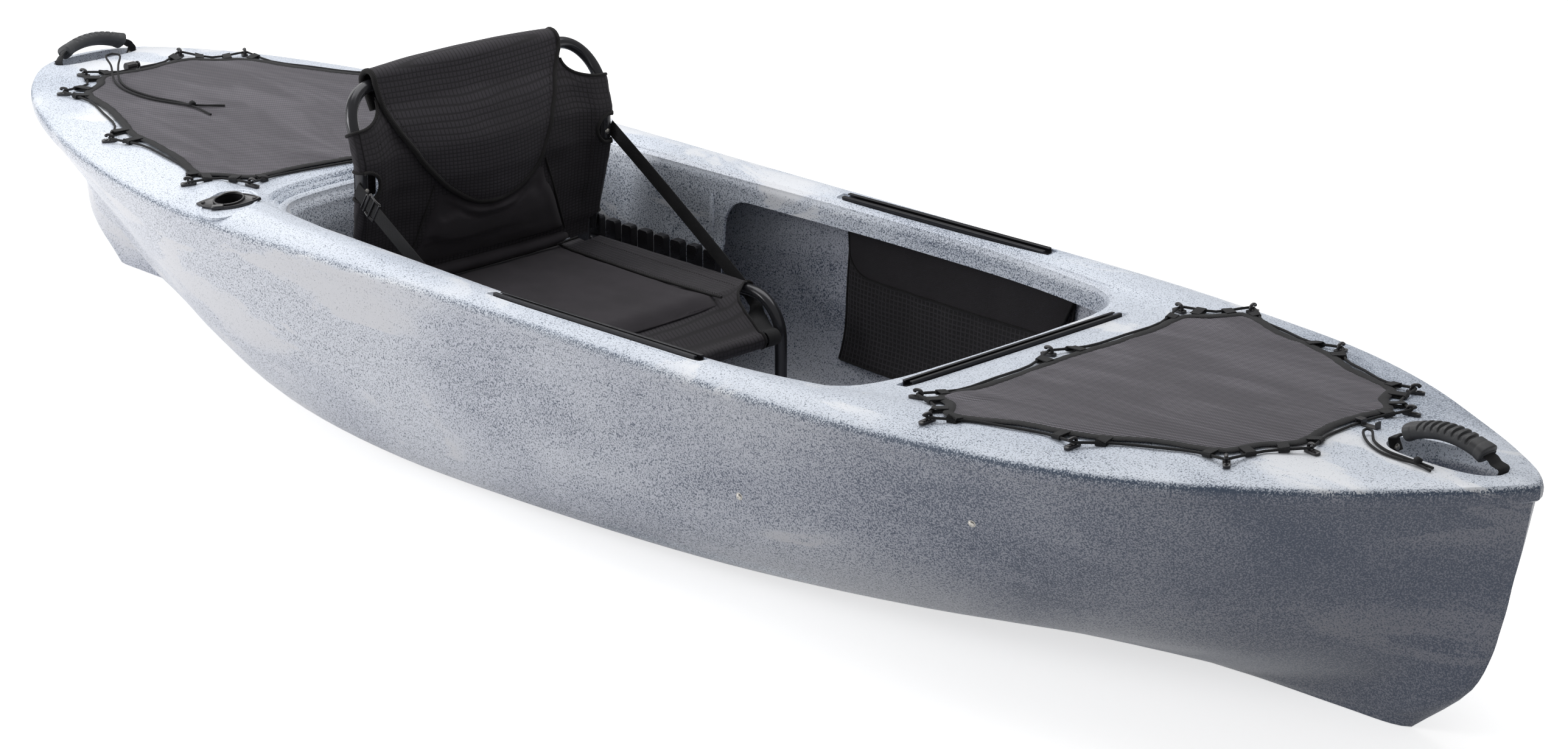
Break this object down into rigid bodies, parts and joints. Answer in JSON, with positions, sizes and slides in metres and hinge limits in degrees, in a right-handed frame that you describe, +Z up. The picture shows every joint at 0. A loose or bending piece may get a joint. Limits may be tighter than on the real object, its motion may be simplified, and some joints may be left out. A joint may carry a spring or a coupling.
{
  "type": "sit-in kayak",
  "caption": "Sit-in kayak with a lift-out folding seat, strapped mesh deck covers, rod holders, accessory tracks, foot braces and carry handles.",
  "frame": {"origin": "under the middle of the hull, at the height of the keel's flat", "axes": "+X towards the bow, -Y to starboard, +Z up"},
  "size_m": [3.048, 0.812, 0.5375],
  "materials": {
    "black_anodised": "black anodised",
    "black_painted_tube": "gloss black paint",
    "black_plastic": "black moulded plastic",
    "black_webbing": "woven nylon webbing",
    "cover_mesh": "woven mesh",
    "granite_polyethylene": "speckled rotomoulded polyethylene",
    "grip_rubber": "moulded, satin",
    "pouch_cloth": "mesh and packcloth",
    "seat_cloth": "mesh and packcloth",
    "shock_cord": "braided cord"
  },
  "bodies": {
    "hull": {"bow_cover": "cover_mesh", "bow_handle_strap": "black_webbing", "bow_hook_1": "black_plastic", "bow_hook_10": "black_plastic", "bow_hook_11": "black_plastic", "bow_hook_2": "black_plastic", "bow_hook_3": "black_plastic", "bow_hook_4": "black_plastic", "bow_hook_5": "black_plastic", "bow_hook_6": "black_plastic", "bow_hook_7": "black_plastic", "bow_hook_8": "black_plastic", "bow_hook_9": "black_plastic", "bow_shock_cord": "shock_cord", "bow_tail_cord": "shock_cord", "cord_hook": "black_plastic", "cord_lock_body": "black_plastic", "foot_brace_rail_port": "black_anodised", "foot_brace_rail_starboard": "black_anodised", "hull": "granite_polyethylene", "rod_holder_port": "black_plastic", "rod_holder_starboard": "black_plastic", "seat_rack_port": "black_plastic", "seat_rack_starboard": "black_plastic", "stern_cover": "cover_mesh", "stern_handle_strap": "black_webbing", "stern_hook_1": "black_plastic", "stern_hook_10": "black_plastic", "stern_hook_11": "black_plastic", "stern_hook_2": "black_plastic", "stern_hook_3": "black_plastic", "stern_hook_4": "black_plastic", "stern_hook_5": "black_plastic", "stern_hook_6": "black_plastic", "stern_hook_7": "black_plastic", "stern_hook_8": "black_plastic", "stern_hook_9": "black_plastic", "stern_shock_cord": "shock_cord", "stern_tail_cord": "shock_cord", "storage_pouch": "pouch_cloth", "track_cross": "black_anodised", "track_port": "black_anodised", "track_starboard": "black_anodised"},
    "seat": {"seat_rail_port": "black_painted_tube", "seat_rail_starboard": "black_painted_tube", "seat_front_tube": "black_painted_tube", "seat_rear_rod": "black_painted_tube", "seat_sling": "seat_cloth", "hinge_bracket_port": "black_painted_tube", "hinge_bracket_starboard": "black_painted_tube", "back_strap_port": "black_webbing", "back_strap_starboard": "black_webbing"},
    "backrest": {"back_tube": "black_painted_tube", "back_fabric": "seat_cloth", "strap_buckle": "black_plastic"},
    "foot_pedal_port": {"foot_pedal_port": "black_plastic"},
    "foot_pedal_starboard": {"foot_pedal_starboard": "black_plastic"},
    "bow_grip": {"bow_grip": "grip_rubber"},
    "stern_grip": {"stern_grip": "grip_rubber"},
    "cord_lock_button": {"cord_lock_button": "black_plastic"}
  },
  "joints": [
    {"name": "seat_lift", "type": "slide", "parent": "hull", "child": "seat", "axis": [0, 0, 1], "range_m": [0, 0.35]},
    {"name": "backrest_fold", "type": "hinge", "parent": "seat", "child": "backrest", "pos_m": [-0.472, 0, 0.231], "axis": [0, 1, 0], "range_deg": [0, 80], "deforming": ["back_strap_port", "back_strap_starboard"]},
    {"name": "foot_pedal_port_slide", "type": "slide", "parent": "hull", "child": "foot_pedal_port", "axis": [0.984, -0.0982, 0.1489], "range_m": [-0.133, 0.141]},
    {"name": "foot_pedal_starboard_slide", "type": "slide", "parent": "hull", "child": "foot_pedal_starboard", "axis": [0.9835, 0.1026, 0.1488], "range_m": [-0.133, 0.141]},
    {"name": "bow_handle_swing", "type": "hinge", "parent": "hull", "child": "bow_grip", "pos_m": [1.38496, 0, 0.37849], "axis": [1, 0, 0.0098], "range_deg": [-35, 35], "deforming": ["bow_handle_strap"]},
    {"name": "stern_handle_swing", "type": "hinge", "parent": "hull", "child": "stern_grip", "pos_m": [-1.47811, 0, 0.35806], "axis": [0, 1, -0.0008], "range_deg": [-16, 45], "deforming": ["stern_handle_strap"]},
    {"name": "cord_lock_press", "type": "slide", "parent": "hull", "child": "cord_lock_button", "axis": [0, -1, 0], "range_m": [0, 0.0035], "stiffness_N_per_m": 600, "springref_m": -0.003}
  ]
}
